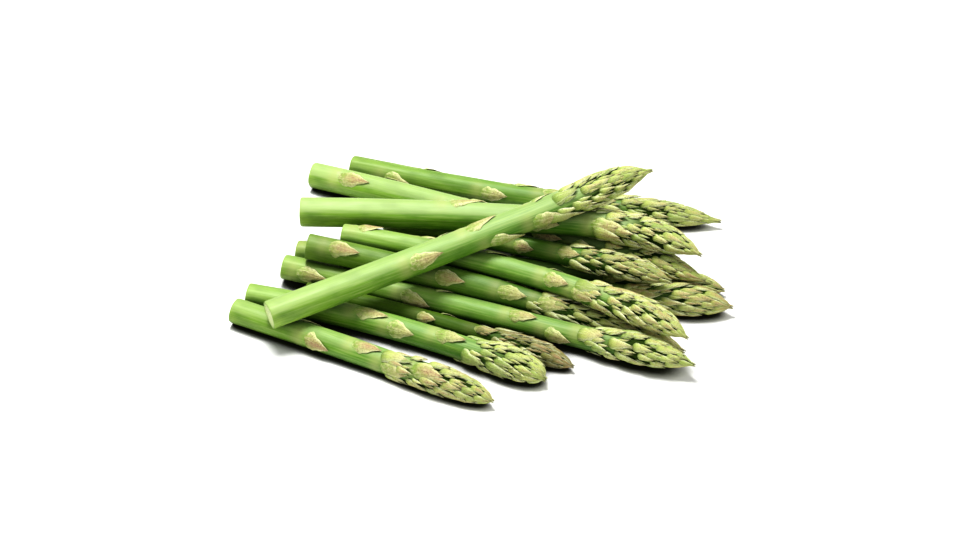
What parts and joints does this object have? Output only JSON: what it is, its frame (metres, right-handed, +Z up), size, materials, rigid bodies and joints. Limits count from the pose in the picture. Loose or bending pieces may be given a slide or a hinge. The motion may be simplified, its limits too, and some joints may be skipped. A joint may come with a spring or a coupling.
{
  "type": "bunch of asparagus",
  "caption": "Loose bunch of cut green asparagus spears lying crossed on each other, with flat-cut butts, clasping scale leaves and tapered heads.",
  "frame": {"origin": "centre of the bunch's bounding box in plan, at the height of the surface it lies on", "axes": "+X from the cut butts towards the heads, along the longest extent; +Z up; +Y to the left, looking along +X"},
  "size_m": [0.2712, 0.2114, 0.0571],
  "materials": {
    "spear": "waxy, satin green stalk with an olive head",
    "scale_leaf": "papery, matt pale green to pinkish brown"
  },
  "bodies": {
    "root": {"spear_01": "spear", "spear_01_scale_1": "scale_leaf", "spear_01_scale_2": "scale_leaf", "spear_01_scale_3": "scale_leaf", "spear_01_scale_4": "scale_leaf", "spear_02": "spear", "spear_02_scale_1": "scale_leaf", "spear_02_scale_2": "scale_leaf", "spear_02_scale_3": "scale_leaf", "spear_03": "spear", "spear_03_scale_1": "scale_leaf", "spear_03_scale_2": "scale_leaf", "spear_04": "spear", "spear_04_scale_1": "scale_leaf", "spear_04_scale_2": "scale_leaf", "spear_04_scale_3": "scale_leaf", "spear_04_scale_4": "scale_leaf", "spear_04_scale_5": "scale_leaf", "spear_05": "spear", "spear_05_scale_1": "scale_leaf", "spear_05_scale_2": "scale_leaf", "spear_05_scale_3": "scale_leaf", "spear_06": "spear", "spear_06_scale_1": "scale_leaf", "spear_06_scale_2": "scale_leaf", "spear_06_scale_3": "scale_leaf", "spear_06_scale_4": "scale_leaf", "spear_07": "spear", "spear_07_scale_1": "scale_leaf", "spear_08": "spear", "spear_08_scale_1": "scale_leaf", "spear_08_scale_2": "scale_leaf", "spear_08_scale_3": "scale_leaf", "spear_09": "spear", "spear_09_scale_1": "scale_leaf", "spear_09_scale_2": "scale_leaf", "spear_09_scale_3": "scale_leaf", "spear_09_scale_4": "scale_leaf", "spear_10": "spear", "spear_10_scale_1": "scale_leaf", "spear_10_scale_2": "scale_leaf", "spear_10_scale_3": "scale_leaf", "spear_10_scale_4": "scale_leaf", "spear_11": "spear", "spear_11_scale_1": "scale_leaf", "spear_11_scale_2": "scale_leaf", "spear_11_scale_3": "scale_leaf", "spear_11_scale_4": "scale_leaf", "spear_11_scale_5": "scale_leaf", "spear_12": "spear", "spear_12_scale_1": "scale_leaf", "spear_12_scale_2": "scale_leaf", "spear_12_scale_3": "scale_leaf", "spear_12_scale_4": "scale_leaf", "spear_13": "spear", "spear_13_scale_1": "scale_leaf", "spear_13_scale_2": "scale_leaf", "spear_13_scale_3": "scale_leaf", "spear_13_scale_4": "scale_leaf"}
  },
  "joints": []
}
